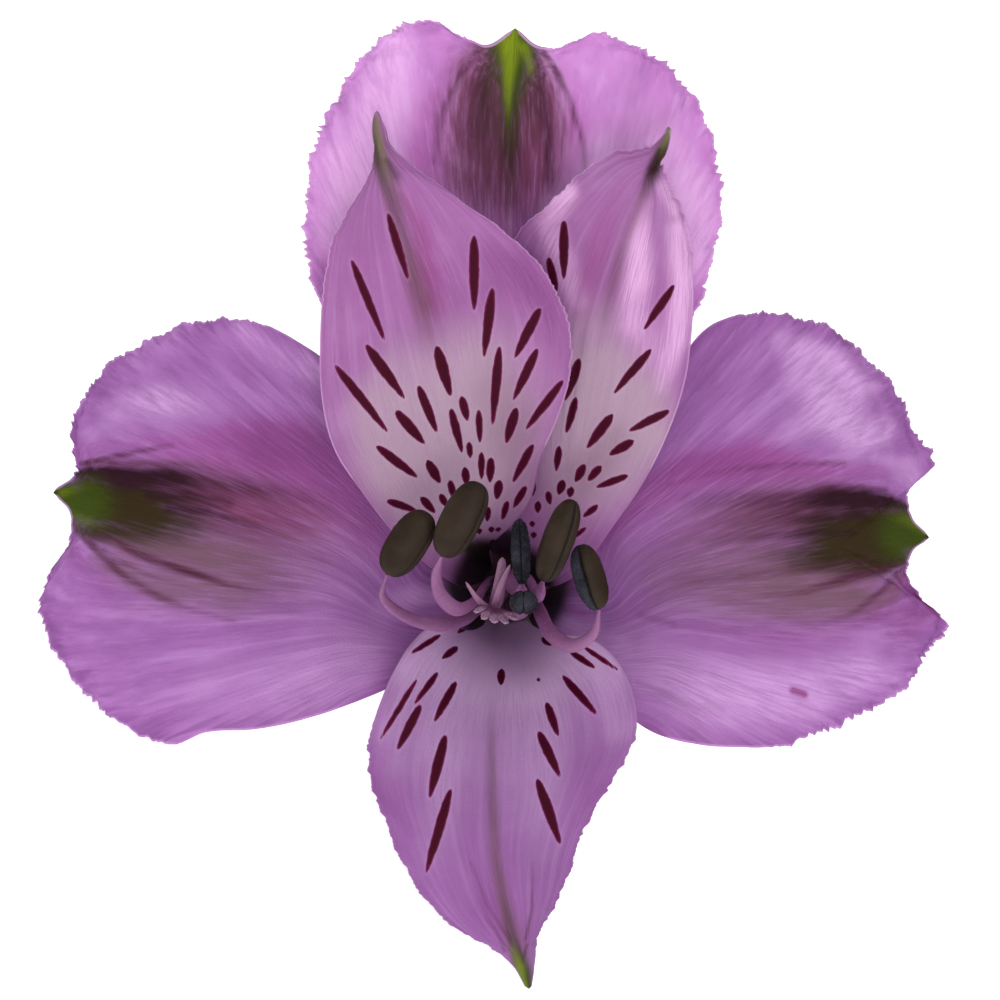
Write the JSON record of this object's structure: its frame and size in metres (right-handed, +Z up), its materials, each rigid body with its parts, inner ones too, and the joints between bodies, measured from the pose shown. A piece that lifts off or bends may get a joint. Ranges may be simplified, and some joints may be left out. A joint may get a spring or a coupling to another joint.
{
  "type": "alstroemeria stem",
  "caption": "Cut alstroemeria floret on its own stalk, lying on a table: lilac tepals with dark flecks and green tips, stamens and pistil in the throat",
  "frame": {"origin": "on the table, under the middle of the box round the floret as it lies", "axes": "+Z up from the table; +Y along the stalk from the bloom to its cut end, so the open face looks to -Y and up; +X to the right as one faces the bloom"},
  "size_m": [0.0614, 0.0776, 0.0572],
  "materials": {
    "outer_tepal": "satin lilac petal with a green tip and a dark midrib flame",
    "inner_tepal": "satin pale lilac petal with maroon flecks and a green tip",
    "filament": "moist satin pink-purple stalk",
    "anther": "matt olive-brown pollen sac",
    "style": "moist satin pink",
    "ovary": "satin green, ribbed",
    "pedicel": "satin green stalk"
  },
  "bodies": {
    "root": {"tepal_outer_top": "outer_tepal", "tepal_outer_left": "outer_tepal", "tepal_outer_right": "outer_tepal", "tepal_inner_left": "inner_tepal", "tepal_inner_right": "inner_tepal", "tepal_inner_lower": "inner_tepal", "filament_1": "filament", "filament_2": "filament", "filament_3": "filament", "filament_4": "filament", "filament_5": "filament", "filament_6": "filament", "anther_1": "anther", "anther_2": "anther", "anther_3": "anther", "anther_4": "anther", "anther_5": "anther", "anther_6": "anther", "style": "style", "ovary": "ovary", "pedicel": "pedicel"}
  },
  "joints": []
}
